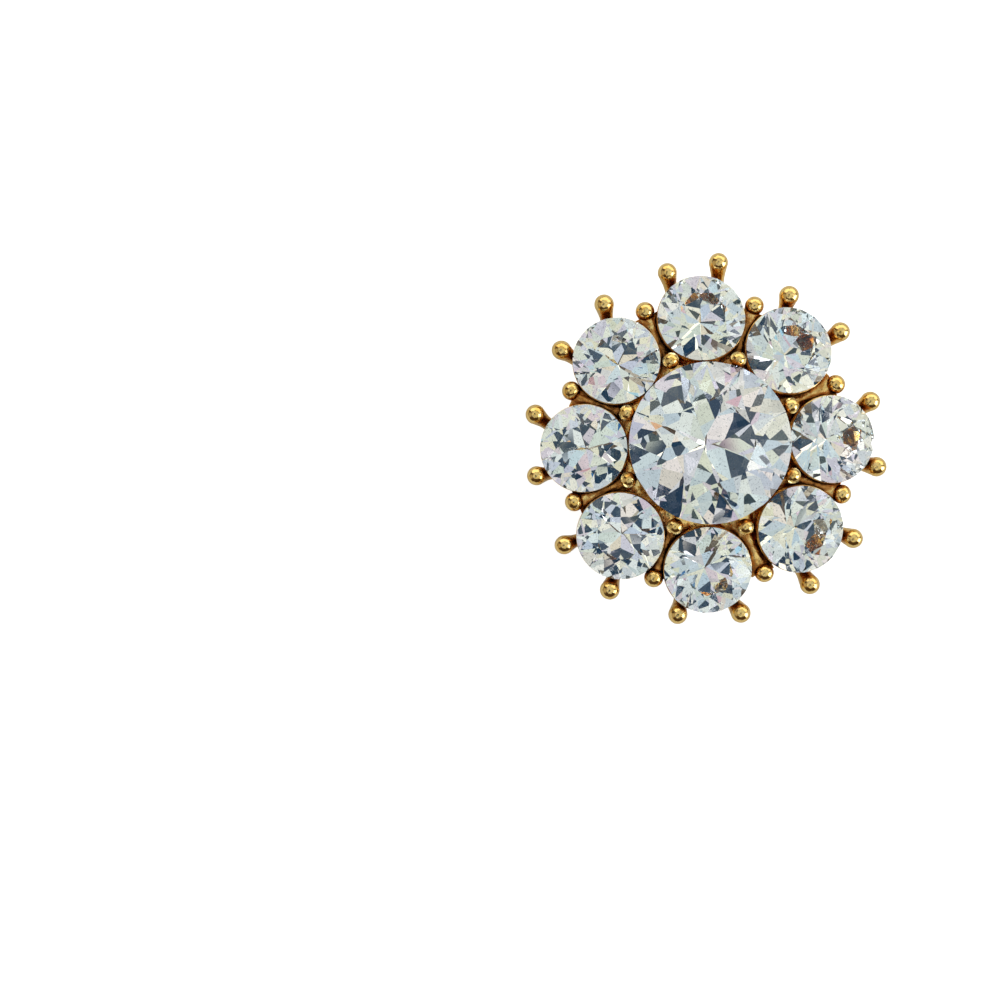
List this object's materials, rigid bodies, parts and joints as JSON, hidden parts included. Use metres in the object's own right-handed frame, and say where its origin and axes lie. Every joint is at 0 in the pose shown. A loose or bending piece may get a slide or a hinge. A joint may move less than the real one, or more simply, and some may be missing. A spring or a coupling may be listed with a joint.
{
  "type": "rhinestone earring",
  "caption": "Round clip-on cluster earring: a large faceted stone ringed by smaller ones, in a cast gold-coloured setting with ball-tipped prongs, with a bent clip behind.",
  "frame": {"origin": "on the flat back of the clip's pad, which the earring rests on, straight behind the middle of the large stone", "axes": "+Z out of the front of the earring, +Y up as it is worn, +X to the right seen from the front"},
  "size_m": [0.0327, 0.0336, 0.0159],
  "materials": {
    "gold_setting": "polished gold plate, darkened in the recesses",
    "centre_crystal": "faceted clear glass with a mirror foil behind",
    "petal_crystal": "faceted clear glass with a mirror foil behind",
    "gold_clip": "polished gold plate"
  },
  "bodies": {
    "root": {"setting": "gold_setting", "centre_stone": "centre_crystal", "petal_stone_1": "petal_crystal", "petal_stone_2": "petal_crystal", "petal_stone_3": "petal_crystal", "petal_stone_4": "petal_crystal", "petal_stone_5": "petal_crystal", "petal_stone_6": "petal_crystal", "petal_stone_7": "petal_crystal", "petal_stone_8": "petal_crystal", "ear_clip": "gold_clip"}
  },
  "joints": []
}
